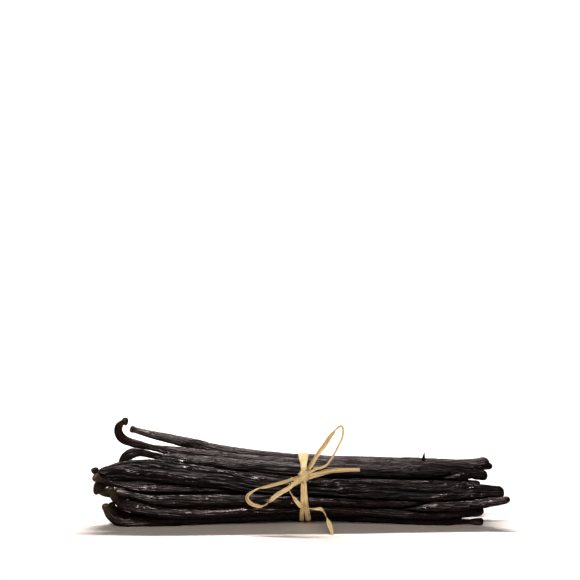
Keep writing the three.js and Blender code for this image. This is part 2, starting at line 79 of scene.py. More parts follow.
# The filling between the pods, with its half depth and half height.
HEART = {"left": -52, "right": 58, "depth": 11.5, "height": 9.6, "middle": (0.5, 14)}
HEART_SHARE = 0.96  # share of those that the core takes up

# The dry spur on the top pod. It is wider than deep by "flat", and "ragged" all round.
SPUR = {"x": 52.9, "depth": 2, "foot": 23.6, "top": 28.6, "width": 1.3, "lean": 0.5,
        "taper": 0.8, "flat": 1.5, "ragged": 0.2}

# Raffia round the bundle.
WRAP_HALF = 5  # half of the stretch of pods that it holds
STRAP_FUNNEL = (0.1, 1.1)  # angles from the knot over which the turns spread to full width
STRAP_PULL = 1.7  # how far the knot pulls the turns off the pods
PULL_FADE = (0.05, 0.5)  # angles from the knot over which that fades
KNOT = {"x": 1.1, "depth": -18.4, "height": 21.8}
KNOT_WAIST = 1.6  # width of each turn at the knot

# Nothing reaches below these heights, so it all lies on the surface.
FLOOR_GAP = {"pods": 0.02, "strips": 0.03, "wrap": 0.05}

# Seeds of the random draws. Free strips have their own.
SEEDS = {"pods": 400, "spur": 77, "wrap": 900}

# ---- Where the pods lie -------------------------------------------------------------


def end(x, depth, height, rise=0, up=0, length=0, out=0, share=TIP_SHARE):
    """One end of a pod: where it is, its rise per mm, and a curl of some degrees over a length."""
    return {
        "at": np.array([x, depth, height], float), "rise": rise, "share": share,
        "up": math.radians(up), "out": math.radians(out), "curl": length,
    }


def pod(name, tie, width, neck, roll, stem, tip,
        thin=NECK_START, knob=KNOB_RADIUS, stalk=STALK, dry=0.5):
    """tie is (depth, height) under the wrap, and roll is in degrees at stem end, tie and tip.

    The pod widens from thin to neck, both distances from the stem end. dry is how far that end
    has turned pale."""
    return {
        "name": name, "tie": np.array([TIE_X, *tie], float), "width": width,
        "thin": thin, "neck": neck, "roll": np.radians(roll), "stem": stem, "tip": tip,
        "knob": knob, "stalk": stalk, "dry": dry,
    }


NEAR_PODS = [
    pod("hooked", (-5, 25), 0.9, 42, (10, 10, 0),
        end(-74.2, -3.4, 34.2, 0.26, 180, 14.2, 4), end(76, -1, 22.2, -0.02),
        thin=24, knob=1.6, dry=0.3,
        stalk=((2.6, 1), (5.5, 1.5), (11, 1.75), (17, 1.6), (24, 1.15), (30, 1.3))),
    pod("straight_top", (2.6, 24.9), 0.98, 26, (0, 5, 20),
        end(-74, 3, 38.9, 0.31), end(81.6, 2, 23.4, 0.05, share=0.86),
        knob=1.4, dry=0.8, stalk=((2, 1.1), (9, 1.25))),
    pod("arched", (-11, 23.6), 1.05, 27, (0, 14, 30),
        end(-67.4, -9.2, 30.2, 0.18, -100, 11.4), end(80.1, -4, 19.6, -0.12, share=0.7),
        thin=16, knob=1.9, dry=0.3, stalk=((1.8, 1.9), (6, 2.05), (12, 1.25), (17, 1.2))),
    pod("broad", (-16, 16.8), 1.16, 17, (75, 72, 40),
        end(-84.2, -13.6, 22.8, -0.14, 84, 4.6), end(86.2, -13, 13.8, -0.04),
        knob=1.5, dry=0.15, stalk=((2.3, 1), (4, 1.9))),
    pod("blunt_stem", (-12, 14.6), 0.98, 28, (60, 20, 10),
        end(-77.2, -16.2, 18.2, 0.14, 22, 11.6), end(83, -12, 11.4, -0.05),
        thin=9, knob=1.75, dry=1.2, stalk=((2.6, 0.95), (6, 0.75), (14, 0.8))),
    pod("down_hook", (-9.2, 18), 0.92, 22, (10, 10, 10),
        end(-81, -10.6, 18, 0.2, -125, 10), end(76.6, -7, 16.2, -0.06),
        knob=1.5, stalk=((1.6, 1.6), (4, 2.1), (8, 1.9), (12, 1.4))),
    pod("nubbed", (-16.4, 12.2), 0.98, 18, (50, 30, 10),
        end(-79, -17, 14.7, 0.12), end(76, -11, 9.2),
        thin=5, knob=1.3, stalk=((1.2, 1.25), (8, 1.5))),
    pod("up_curl", (-14.9, 8.8), 1, 30, (40, 40, 10),
        end(-69.7, -17.5, 8.5, 0.17, 71, 15.2), end(77.6, -14, 6, 0.05),
        knob=1.5, dry=0.9, stalk=((2.2, 1.35), (6, 1.7))),
    pod("floor_curl", (-11, 5.4), 1, 9, (20, 20, 40),
        end(-73.6, -14.4, 2.2, 0, 84, 13.6), end(88.2, -17.6, 12.1, 0.13, share=0.42),
        knob=1.6, dry=1, stalk=((2.2, 1.4), (6, 1.7))),
    pod("turned_floor", (-6.4, 2.9), 1.02, 26, (0, 0, 0),
        end(77.4, -14.4, 1.3), end(-52.5, -9.4, 1.9, share=0.8),
        thin=8, knob=1.4, dry=0, stalk=((2.6, 1.3), (6, 0.85), (11, 0.9), (15, 1.3))),
]
FAR_PODS = [
    pod("far_top", (8.8, 23.4), 0.95, 30, (0, -10, 0),
        end(-68, 12.6, 17.4, -0.1, -20, 9, 50), end(83.4, 6.5, 21.6, -0.03)),
    pod("far_shoulder", (13.8, 20), 1, 24, (-20, -50, -20),
        end(-71, 16, 13, -0.12, 44, 9, 6), end(66, 12.4, 20.6, 0.08)),
    pod("far_broad", (16.6, 15.6), 1.12, 18, (-60, -78, -50),
        end(-66, 19, 15, 0.04, 0, 8, 24), end(74, 17.4, 13.4, -0.06)),
    pod("turned_far_side", (16.8, 11), 0.95, 30, (-60, -76, -60),
        end(70, 18.4, 15.8, 0.1, 64, 9), end(-74, 17.6, 7, -0.04)),
    pod("far_lower_side", (14, 6.8), 1, 30, (-20, -40, -10),
        end(-62, 15.4, 3, 0, 46, 11, 34), end(77, 19, 5, 0.04)),
    pod("far_floor", (8.8, 4), 1, 28, (-10, -10, 0),
        end(-73, 11, 1.1, 0, 14, 6, -30), end(68, 13, 1.6)),
    pod("middle_floor", (2.4, 2.9), 0.98, 12, (40, 0, 0),
        end(-71.6, -6, 2.2, 0, 72, 13, -14), end(70, -2.4, 1.6)),
]
HEART_GIRTH = (0.95, 30, (0, 0, 0))
HEART_PODS = [
    pod("end_on", (-2.4, 21), *HEART_GIRTH,
        end(-62, -1, 20), end(66.6, -6, 19.6, 0, 0, 5.6, -70, share=0.95)),
    pod("inner_far_top", (5.6, 20), *HEART_GIRTH,
        end(-70, 5, 14.6, -0.06), end(71, 6, 16.6)),
    pod("inner_middle", (-1.4, 17), *HEART_GIRTH,
        end(-82, -8, 13, 0.05, 60, 5), end(72, 1, 14),
        knob=1.8, dry=1.2, stalk=((2.2, 1.9), (6, 1.9))),
    pod("inner_far", (9, 14.6), *HEART_GIRTH,
        end(-76, 9.6, 10), end(62, 12, 11.6)),
    pod("inner_near", (-8.6, 10.4), *HEART_GIRTH,
        end(-79.6, -13, 13.4), end(74, -5, 9),
        knob=1.9, stalk=((2.2, 1.9), (6, 2.1))),
    pod("inner_low", (-3.4, 7), 0.95, 10, (50, 0, 0),
        end(-79, -9, 7), end(68, -1, 6),
        knob=1.8, stalk=((2.2, 1.8), (6, 2))),
    pod("inner_far_low", (6, 7.4), *HEART_GIRTH,
        end(-69, 4, 7), end(78, 8.4, 8, 0.04)),
]

# The free strands of the bow, from the knot outwards, as (x, depth, height).
LEFT_LOOP = [
    (-1.4, -20.4, 22.1), (-4.2, -20.8, 21.3), (-8.1, -21.4, 20.1), (-13, -22, 18.9),
    (-17.8, -22.3, 17.7), (-20.6, -22.5, 16.4), (-22.7, -22.6, 14.5), (-22.4, -22.6, 12.4),
    (-20.5, -22.6, 10.9), (-18, -22.6, 10.2), (-15.5, -22.6, 10.6), (-13.4, -22.6, 12.2),
    (-11.3, -22.6, 14.2), (-8.6, -22.6, 16.1), (-5, -22.6, 18.3), (-2.3, -22.5, 20.5),
    (-1, -22.4, 21.4),
]
RIGHT_LOOP = [
    (2.6, -19.4, 24.8), (3.9, -19.4, 26.7), (5.8, -19.4, 30.1), (7.8, -19.4, 33.3),
    (9.7, -19.3, 35.7), (11.2, -19.2, 38.1), (12.9, -19.1, 40.4), (14.6, -19, 42.4),
    (16.3, -18.9, 43.6), (17.4, -18.8, 43), (17.6, -18.8, 41.4), (17.2, -18.8, 38.8),
    (16.1, -18.9, 36.2), (14.8, -19.1, 33.8), (13.5, -19.4, 31.3), (12.1, -19.8, 29.2),
    (10.4, -20.2, 27.1), (8.2, -20.6, 26.2), (6.3, -20.9, 25.9), (4.5, -21.1, 25),
    (3.1, -21.2, 24),
]
FRONT_TAIL = [
    (-0.2, -20.1, 19.9), (-2.3, -20.2, 18.7), (-4.4, -20.4, 17.6), (-5, -20.6, 16.4),
    (-4.3, -20.8, 15.1), (-3, -21.1, 13.2), (-1.5, -21.3, 11.3), (0, -21.5, 9.8),
    (1.9, -21.7, 9.2), (4, -22, 9), (6.1, -22.3, 9), (8, -22.8, 9.1), (9.2, -23.8, 8.2),
    (10.3, -25.4, 6.5), (11.3, -27.2, 4.5), (12.1, -29, 2.7), (12.7, -30.8, 1.1),
    (13.2, -32, 0.7),
]
RIGHT_TAIL = [
    (1.4, -20, 21.9), (4, -20.2, 22.4), (7.8, -19.6, 23.3), (12.1, -19, 24.3),
    (16.3, -18.6, 24.6), (20.5, -18.2, 24.7), (24.7, -17.8, 24.7),
]

# ---- Camera -------------------------------------------------------------------------

LENS = 110
CAMERA_AT = (-4.785, -754.05, 174.28)
CAMERA_DIP = 5.69  # degrees below the horizon
CLIPPING = (0.01, 20)  # metres


def add_camera():
    data = bpy.data.cameras.new("camera")
    data.lens = LENS
    data.clip_start, data.clip_end = CLIPPING
    camera = bpy.data.objects.new("camera", data)
    camera.location = Vector(CAMERA_AT) * MM
    camera.rotation_euler = (math.radians(90 - CAMERA_DIP), 0, 0)
    bpy.context.scene.collection.objects.link(camera)
    bpy.context.scene.camera = camera


add_camera()

# ---- Small helpers ------------------------------------------------------------------


def smooth(low, high, value):
    """From 0 to 1, eased at both ends, as value goes from low to high."""
    share = np.clip((np.asarray(value, float) - low) / (high - low), 0, 1)
    return share * share * (3 - 2 * share)


def unit(vectors):
    return vectors / np.linalg.norm(vectors, axis=-1, keepdims=True)


def noise_field(rng, along, turns, cells):
    """Smooth random values from -1 to 1 over cells along a pod and a number of cells round it."""
    grid = rng.uniform(-1, 1, (int(along.max()) + 3, cells))
    row = along.astype(int)
    column = (turns * cells).astype(int)
    down = smooth(0, 1, along - row)
    over = smooth(0, 1, turns * cells - column)
    column %= cells
    after = (column + 1) % cells
    near = grid[row, column] * (1 - over) + grid[row, after] * over
    next_row = grid[row + 1, column] * (1 - over) + grid[row + 1, after] * over
    return near * (1 - down) + next_row * down


def drift(rng, distance, step):
    """Smooth random values from -1 to 1 along a distance, with a new one every step."""
    return noise_field(rng, distance / step, np.zeros(len(distance)), 1)


def running_length(points):
    """Distance along a line of points, at each of them."""
    return np.concatenate([[0], np.cumsum(np.linalg.norm(np.diff(points, axis=0), axis=1))])


def along_line(points, run, distance):
    """Points at distances along a line with running length run."""
    return np.stack([np.interp(distance, run, points[:, axis]) for axis in range(3)], -1)


def add_mesh(name, points, faces, material, attributes=None, scale=MM):
    """A shaded-smooth piece from points. attributes are values at the points."""
    mesh = bpy.data.meshes.new(name)
    mesh.from_pydata((np.asarray(points) * scale).tolist(), [], faces)
    mesh.polygons.foreach_set("use_smooth", np.ones(len(mesh.polygons), bool))
    for label, values in (attributes or {}).items():
        kind, field = ("FLOAT_VECTOR", "vector") if values.ndim == 2 else ("FLOAT", "value")
        layer = mesh.attributes.new(label, kind, "POINT")
        layer.data.foreach_set(field, values.astype(np.float32).ravel())
    mesh.materials.append(material)
    mesh.update()
    piece = bpy.data.objects.new(name, mesh)
    bpy.context.scene.collection.objects.link(piece)
    return piece


def band_faces(rings, sides, first=0, closed=False):
    """Faces between rings of points and, where closed, from the last ring to the first."""
    def at(ring, side):
        return first + ring % rings * sides + side % sides

    return [
        (at(ring, side), at(ring, side + 1), at(ring + 1, side + 1), at(ring + 1, side))
        for ring in range(rings if closed else rings - 1)
        for side in range(sides)
    ]


def tube_faces(rings, sides, first=0):
    """Faces of a closed skin over rings of points, with one point before and one after them."""
    start = first + 1
    finish = start + rings * sides
    last_ring = finish - sides
    after = [(side + 1) % sides for side in range(sides)]
    near = [(first, start + after[side], start + side) for side in range(sides)]
    far = [(finish, last_ring + side, last_ring + after[side]) for side in range(sides)]
    return near + band_faces(rings, sides, start) + far


def mount(piece, node):
    """A dressed piece stands for its solid and rides on the one body."""
    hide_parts(node)
    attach(piece, "root")
    return piece


# ---- Finishes -----------------------------------------------------------------------


def add_node(tree, kind, values=None, **settings):
    """A shader node. values are its inputs by name or number: numbers, or sockets to link."""
    node = tree.nodes.new(kind)
    for key, value in settings.items():
        setattr(node, key, value)
    for key, value in (values or {}).items():
        if isinstance(value, bpy.types.NodeSocket):
            tree.links.new(value, node.inputs[key])
        else:
            node.inputs[key].default_value = value
    return node


def maths(tree, operation, *values, clamp=False):
    """One step of arithmetic on numbers and sockets."""
    return add_node(tree, "ShaderNodeMath", dict(enumerate(values)), operation=operation,
                    use_clamp=clamp).outputs[0]


def new_group(name, numbers, results):
    """An empty shader node group that takes a place and some numbers."""
    tree = bpy.data.node_groups.new(name, "ShaderNodeTree")
    sockets = [("Place", "INPUT", "Vector")] + [(label, "INPUT", "Float") for label in numbers]
    sockets += [(label, "OUTPUT", "Float") for label in results]
    for label, way, kind in sockets:
        tree.interface.new_socket(name=label, in_out=way, socket_type="NodeSocket" + kind)
    return tree, tree.nodes.new("NodeGroupInput").outputs, tree.nodes.new("NodeGroupOutput").inputs


# Scale, detail and roughness of each noise.
COARSE_GRAIN = (1.0, 3.0, 0.6)
FINE_GRAIN = (2.7, 4.0, 0.65)
PATCH_GRAIN = (1.0, 5.0, 0.6)
CREST_FALL = -7.0  # how steeply a fibre's crest falls away
CREST_HEIGHT = 0.6  # beside the fine grain's


def noise(tree, given, scale, detail, roughness, wander=0.0):
    """Noise that the group's numbers stretch along and across a piece."""
    stretch = add_node(tree, "ShaderNodeCombineXYZ", {
        "X": given["Along"], "Y": given["Across"], "Z": given["Across"]})
    place = add_node(tree, "ShaderNodeVectorMath", {0: given["Place"], 1: stretch.outputs[0]},
                     operation="MULTIPLY")
    return add_node(tree, "ShaderNodeTexNoise", {
        "Vector": place.outputs[0], "Scale": scale, "Detail": detail, "Roughness": roughness,
        "Distortion": wander}).outputs[0]


def fibre_group():
    """Fine lines that run along a piece, and where they stand out."""
    tree, given, result = new_group(
        "lengthwise_fibres", ("Along", "Across", "Wander", "Sharpness"), ("Height", "Lines"))
    coarse = noise(tree, given, *COARSE_GRAIN, given["Wander"])
    fine = noise(tree, given, *FINE_GRAIN, given["Wander"])
    folded = maths(tree, "ABSOLUTE", maths(tree, "SUBTRACT", coarse, 0.5))
    crest = maths(tree, "MULTIPLY_ADD", folded, CREST_FALL, 1.0, clamp=True)
    tree.links.new(maths(tree, "MULTIPLY_ADD", crest, CREST_HEIGHT, fine), result["Height"])
    tree.links.new(maths(tree, "POWER", crest, given["Sharpness"]), result["Lines"])
    return tree


def patch_group():
    """Slow changes of tone over a piece, from 0 to 1."""
    tree, given, result = new_group(
        "patches_of_tone", ("Along", "Across", "Contrast"), ("Patches",))
    centred = maths(tree, "SUBTRACT", noise(tree, given, *PATCH_GRAIN), 0.5)
    spread_out = maths(tree, "MULTIPLY_ADD", centred, given["Contrast"], 0.5, clamp=True)
    tree.links.new(spread_out, result["Patches"])
    return tree


FIBRES = fibre_group()
PATCHES = patch_group()


# Each finish: the values of both groups, the fibres' relief and how strongly it shows, its
# colours and how much each mark gives of them, and its roughness.
POD_FINISH = {
    "fibres": {"Along": 0.26, "Across": 1.25, "Wander": 0.5, "Sharpness": 3.0},
    "patches": {"Along": 0.07, "Across": 0.35, "Contrast": 3.2},
    "relief": 0.055, "strength": 1.0,
    # The paler crest tone is partly wear and partly painted sheen; the hollow factor sets the
    # painted shade in creases and pressed places.
    "black": (0.002, 0.0015, 0.0016), "brown": (0.011, 0.006, 0.005), "red": (0.036, 0.012, 0.009),
    "worn_and_sheen": (0.065, 0.043, 0.036), "dry": (0.14, 0.105, 0.065), "painted_shade_in_hollows": 0.3,
    "worn_and_sheen_share": 0.5, "dry_share": 0.6,
    "roughness": 0.07, "patch_roughness": 0.12, "hollow_roughness": 0.8, "specular": 0.5,
}
RAFFIA_FINISH = {
    "fibres": {"Along": 0.07, "Across": 2.2, "Wander": 0.15, "Sharpness": 1.4},
    "patches": {"Along": 0.12, "Across": 0.5, "Contrast": 2.6},
    "relief": 0.1, "strength": 0.8,
    "pale": (0.9, 0.79, 0.5), "straw": (0.66, 0.52, 0.27), "deep": (0.5, 0.31, 0.12),
    "roughness": 0.55,
}


def fibres_and_patches(tree, place, finish):
    """Both groups in one material: the fibres' node and the patches' socket."""
    fibres, patches = (
        add_node(tree, "ShaderNodeGroup", {"Place": place, **finish[part]}, node_tree=group)
        for part, group in (("fibres", FIBRES), ("patches", PATCHES)))
    return fibres, patches.outputs["Patches"]


def rough_up(tree, shader, fibres, finish):
    """The fibres as relief."""
    bump = add_node(tree, "ShaderNodeBump", {
        "Strength": finish["strength"], "Distance": finish["relief"] * MM,
        "Height": fibres.outputs["Height"]})
    tree.links.new(bump.outputs[0], shader.inputs["Normal"])


def new_material(name):
    material = bpy.data.materials.new(name)
    material.use_nodes = True
    tree = material.node_tree
    return material, tree, tree.nodes["Principled BSDF"]


def blend_colour(tree, share, low, high):
    """A colour between two, each of them a socket or its red, green and blue."""
    low, high = (
        value if isinstance(value, bpy.types.NodeSocket) else (*value, 1) for value in (low, high))
    values = {0: share, 6: low, 7: high}
    return add_node(tree, "ShaderNodeMix", values, data_type="RGBA").outputs[2]


def mark(tree, label, output="Fac"):
    """A value or a place that the points of a mesh carry."""
    return add_node(tree, "ShaderNodeAttribute", attribute_name=label).outputs[output]


def pod_skin(finish):
    """Oily cured skin: its own tone on each pod, paler along the fibre crests (partly wear, partly
    painted sheen), dry at the stem, and painted shade in the creases and where other pods press on
    it.
    """
    material, tree, shader = new_material("pod_skin")
    fibres, patches = fibres_and_patches(tree, mark(tree, "place", "Vector"), finish)
    black = finish["black"]
    browner = blend_colour(tree, patches, black, finish["brown"])
    redder = blend_colour(tree, patches, black, finish["red"])
    tone = blend_colour(tree, mark(tree, "tint"), browner, redder)
    # Paler tone along the fibre crests: partly wear, partly painted sheen.
    crest_sheen_and_wear = maths(tree, "MULTIPLY", fibres.outputs["Lines"], finish["worn_and_sheen_share"])
    tone = blend_colour(tree, crest_sheen_and_wear, tone, finish["worn_and_sheen"])
    stem = maths(tree, "MULTIPLY", mark(tree, "dry"), finish["dry_share"])
    tone = blend_colour(tree, stem, tone, finish["dry"])
    # Painted shade: the base colour goes nearly black in the creases and where other pods press on
    # this one.
    painted_shade = tuple(finish["painted_shade_in_hollows"] * value for value in black)
    tone = blend_colour(tree, mark(tree, "hollow"), tone, painted_shade)
    tree.links.new(tone, shader.inputs["Base Color"])
    rough = maths(tree, "MULTIPLY_ADD", patches, finish["patch_roughness"], finish["roughness"])
    rough = maths(tree, "MULTIPLY_ADD", mark(tree, "hollow"), finish["hollow_roughness"], rough)
    tree.links.new(rough, shader.inputs["Roughness"])
    rough_up(tree, shader, fibres, finish)
    shader.inputs["Specular IOR Level"].default_value = finish["specular"]
    return material


def raffia_skin(finish):
    """Dry split leaf: straw with paler ribs and browner stretches along it."""
    material, tree, shader = new_material("raffia")
    fibres, patches = fibres_and_patches(tree, mark(tree, "place", "Vector"), finish)
    tone = blend_colour(tree, patches, finish["straw"], finish["deep"])
    tone = blend_colour(tree, fibres.outputs["Lines"], tone, finish["pale"])
    tree.links.new(tone, shader.inputs["Base Color"])
    rough_up(tree, shader, fibres, finish)
    shader.inputs["Roughness"].default_value = finish["roughness"]
    return material


POD_SKIN = pod_skin(POD_FINISH)
RAFFIA = raffia_skin(RAFFIA_FINISH)

# ---- The bow ------------------------------------------------------------------------

CURVE_STEPS = 24  # points on a curve from one point of a route to the next
STRIP_STEP = 0.3
STRIP_SIDES = 17  # points across each face of a strip
STRIP_THICKNESS = 0.22
STRIP_THINNED = 0.75  # share of it that a strip loses at its edges
TORN_EDGES = ((0.05, 1.7), (0.05, 5))  # shares of the width, and the steps over which they change
RIBS = ((0.05, 9, 12), (0.03, 19, 25))  # height, and the least and most radians to half a width
STRIP_PLACES = 500  # stretch of the pattern within which a strip starts
NO_TWIST = ((0, 0), (1, 0))
FRONT = np.array([0.0, -1, 0])


def smooth_line(route, step):
    """Points a step apart on a Catmull-Rom curve through the route."""
    route = np.asarray(route, float)
    ends = np.vstack([2 * route[0] - route[1], route, 2 * route[-1] - route[-2]])
    t = np.linspace(0, 1, CURVE_STEPS, endpoint=False)[:, None]
    pieces = []
    for before, start, finish, after in zip(ends, ends[1:], ends[2:], ends[3:]):
        cubic = 3 * (start - finish) + after - before
        square = 2 * before - 5 * start + 4 * finish - after + t * cubic
        pieces.append(start + 0.5 * t * (finish - before + t * square))
    points = np.vstack([*pieces, route[-1:]])
    run = running_length(points)
    return along_line(points, run, np.linspace(0, run[-1], max(8, int(run[-1] / step))))


def spread(stops, shares):
    """Values at shares of a length from (share, value) stops, eased between them."""
    places, values = np.array(stops, float).T
    upper = np.clip(np.searchsorted(places, shares, side="right"), 1, len(places) - 1)
    share = smooth(0, 1, (shares - places[upper - 1]) / (places[upper] - places[upper - 1]))
    return values[upper - 1] * (1 - share) + values[upper] * share


def strip_rings(rng, line, facing, width, twist, fold, curl, closed=False):
    """Rings of a flat strip of split leaf along a line, and the place of each of its points.

    width and twist, in degrees, are (share, value) stops. fold lifts the two halves into a V, curl
    lifts the edges, both as shares of the half width."""
    run = running_length(line)
    shares = run / run[-1]
    step = np.roll(line, -1, 0) - np.roll(line, 1, 0)
    if not closed:
        step[0], step[-1] = line[1] - line[0], line[-1] - line[-2]
    along = unit(step)
    facing = np.broadcast_to(facing, along.shape)
    normal = unit(facing - along * np.sum(facing * along, -1, keepdims=True))
    side = np.cross(normal, along)
    turn = np.radians(spread(twist, shares))[:, None]
    turned_side = side * np.cos(turn) + normal * np.sin(turn)
    normal = normal * np.cos(turn) - side * np.sin(turn)
    torn = sum(share * drift(rng, run, step) for share, step in TORN_EDGES)
    if closed:
        torn *= np.sin(math.pi * shares) ** 0.5
    half = spread(width, shares) / 2 * (1 + torn)
    across = np.linspace(1, -1, STRIP_SIDES)
    ribs = sum(
        high * np.sin(across * rng.uniform(least, most) + rng.uniform(0, TURN))
        for high, least, most in RIBS)
    height = half[:, None] * (fold * (np.abs(across) - 0.5) + curl * (across ** 2 - 0.4)) + ribs
    thick = STRIP_THICKNESS / 2 * (1 - STRIP_THINNED * across ** 8)
    flat = half[:, None] * across
    across = np.concatenate([flat, flat[:, ::-1]], 1)
    over = np.concatenate([height + thick, (height - thick)[:, ::-1]], 1)
    sideways = turned_side[:, None] * across[..., None]
    rings = line[:, None] + sideways + normal[:, None] * over[..., None]
    from_start = np.broadcast_to(run[:, None], across.shape) + rng.uniform(0, STRIP_PLACES)
    return rings, np.stack([from_start, across, over], -1)


def add_strip(name, seed, route, width, twist=NO_TWIST, fold=0.0, curl=0.15, node="raffia_wrap"):
    """A free strip of raffia from its route. Returns the piece and its centre line."""
    rng = np.random.default_rng(seed)
    line = smooth_line(route, STRIP_STEP)
    rings, place = strip_rings(rng, line, FRONT, width, twist, fold, curl)
    rings[..., 2] = np.maximum(rings[..., 2], FLOOR_GAP["strips"])
    points = np.vstack([line[:1], rings.reshape(-1, 3), line[-1:]])
    place = place.reshape(-1, 3)
    place = np.vstack([place[:1], place, place[-1:]])
    faces = tube_faces(len(line), 2 * STRIP_SIDES)
    piece = add_mesh(name, points, faces, RAFFIA, {"place": place})
    return mount(piece, node), line


# Each free strand of the bow: node, route, (share, width) and (share, twist) stops, fold, how it
# ends, and seed.
STRANDS = (
    ("raffia_left_loop", LEFT_LOOP,
     ((0, 1.7), (0.12, 1.8), (0.27, 1.7), (0.36, 1.4), (0.42, 1.3), (0.5, 1.6), (0.58, 1.7),
      (0.64, 1.1), (0.73, 2), (0.86, 2.1), (1, 1.6)),
     ((0, -24), (0.28, -30), (0.37, -100), (0.45, -165), (0.57, -190), (0.65, -255),
      (0.74, -350), (1, -330)),
     0.3, "object", 41),
    ("raffia_right_loop", RIGHT_LOOP,
     ((0, 1.6), (0.12, 1.9), (0.28, 2.2), (0.38, 1.8), (0.45, 1), (0.55, 0.9), (0.8, 0.9),
      (0.92, 1.2), (1, 1.2)),
     ((0, 10), (0.36, 20), (0.46, 150), (0.6, 200), (1, 215)),
     0.55, "object", 42),
    ("raffia_front_tail", FRONT_TAIL,
     ((0, 1.2), (0.12, 1.1), (0.22, 1), (0.32, 1.7), (0.38, 1.9), (0.46, 1.2), (0.54, 1.1),
      (0.62, 1.6), (0.69, 1), (0.76, 1.1), (0.86, 2), (0.94, 1.5), (1, 1.1)),
     ((0, -60), (0.2, -80), (0.3, -10), (0.4, 30), (0.5, 90), (0.6, 150), (0.7, 235),
      (0.84, 350), (1, 372)),
     0.2, "bare", 43),
)


def add_bow():
    for node, route, width, twist, fold, far_end, seed in STRANDS:
        name = node.replace("raffia_", "bow_")
        piece, line = add_strip(name, seed, route, width, twist, fold=fold, node=node)


add_bow()

# ---- Pods ---------------------------------------------------------------------------

HALF_STEPS = 140  # points on half a pod's centre line
CURL_STEPS = 56  # and on a curl


def half_line(tie, outer, slope):
    """One half of a pod's centre line, from the tie to an end: a cubic, then the curl."""
    way = math.copysign(1, outer["at"][0])
    span = abs(outer["at"][0] - tie[0]) / 3
    side = (outer["at"][1] - tie[1]) / (3 * span)
    leave = tie + way * span * np.array([1, *slope])
    arrive = outer["at"] - span * np.array([way, side, outer["rise"]])
    t = np.linspace(0, 1, HALF_STEPS + 1)[:, None]
    near_tie = (1 - t) ** 3 * tie + 3 * t * (1 - t) ** 2 * leave
    line = near_tie + 3 * t * t * (1 - t) * arrive + t ** 3 * outer["at"]
    if not outer["curl"]:
        return line
    share = ((np.arange(CURL_STEPS) + 0.5) / CURL_STEPS) ** CURL_TIGHTEN
    up = math.atan(outer["rise"]) + outer["up"] * share
    out = math.atan(side) + outer["out"] * share
    heading = np.stack([way * np.cos(up) * np.cos(out), np.sin(out), np.sin(up) * np.cos(out)], -1)
    curl = outer["at"] + np.cumsum(heading, axis=0) * outer["curl"] / CURL_STEPS
    return np.vstack([line, curl])


def pod_line(shape):
    """The centre line from the stem end to the blossom end, and where the tie is on it."""
    ends = shape["tip"]["at"] - shape["stem"]["at"]
    slope = TIE_LEAN * ends[1:] / ends[0]
    stem = half_line(shape["tie"], shape["stem"], slope)[::-1]
    tip = half_line(shape["tie"], shape["tip"], slope)
    points = np.vstack([stem, tip[1:]])
    run = running_length(points)
    return points, run, run[len(stem) - 1]


def pod_girth(shape, distance, length):
    """Half width and half thickness at distances from the stem end."""
    grown = smooth(shape["thin"], shape["neck"], distance)
    stalk = spread(shape["stalk"], distance)
    left = length - distance
    narrowed = shape["tip"]["share"] + (1 - shape["tip"]["share"]) * smooth(0, TIP_TAPER, left)
    rounded = (1 - np.clip(1 - left / TIP_ROUND, 0, 1) ** TIP_BLUNT) ** (1 / TIP_BLUNT)
    knob_half = KNOB_SHARE * shape["knob"]
    off_centre = np.abs(distance / knob_half - 1)
    knob = shape["knob"] * np.clip(1 - off_centre ** KNOB_BLUNT, 0, 1) ** (1 / KNOB_BLUNT)
    width = POD_WIDTH * shape["width"]
    thickness = POD_THICKNESS * (1 + THICKNESS_SHARE * (shape["width"] - 1))
    halves = []
    for full in (width, thickness):
        half = (stalk + (full / 2 * narrowed - stalk) * grown) * rounded
        halves.append(np.where(distance < knob_half, knob, np.maximum(half, knob)))
    return halves


# Creases that run along the skin, coarse to fine: how many round a pod, depth and sharpness, the
# length over which they bend, how far they stray in their own spacing, and how long each one is.
CREASES = (
    {"count": 5, "depth": 0.5, "sharp": 3.2, "bend": 26, "stray": 0.5, "reach": 34},
    {"count": 14, "depth": 0.62, "sharp": 2.2, "bend": 12, "stray": 0.5, "reach": 14},
    {"count": 26, "depth": 0.36, "sharp": 1.6, "bend": 5, "stray": 0.6, "reach": 6},
)
CREASE_BENDS = ((1, 4, 1), (0.37, 7, 0.5))  # share of that length, cells round a pod, strength
CREASE_FADE = (0.6, 0.9, 0.03)  # mean depth of a family, how far it varies, and the least
LUMPS = ((5, 9, 0.2), (12, 2.8, 0.15), (21, 1.5, 0.09))  # cells round a pod, cell length, height
PITTED = (0.4, 1.2, 16, 3)  # least height of the lumps, how much more, cell length, cells round
PITTED_FROM = (-0.3, 0.8)  # random values over which that grows
SKEW = 0.0015  # turns by which creases wander round a pod for each mm along it
SHRUNK = (0.75, 1.2)  # how deep the creases of one pod are beside another's


def crease_lines(rng, along, turns, crease):
    """Depth of one family of wavy lengthwise creases, which fade in and out along their run."""
    count = crease["count"]
    stray = sum(
        strength * noise_field(rng, along / (share * crease["bend"]), turns, cells)
        for share, cells, strength in CREASE_BENDS)
    phase = (turns * count + crease["stray"] * stray) % count
    near_crease = np.abs(2 * (phase % 1) - 1)
    mean, varied, least = CREASE_FADE
    strength = mean + varied * noise_field(rng, along / crease["reach"], phase / count, count)
    return crease["depth"] * np.clip(strength, least, 1) * near_crease ** crease["sharp"]


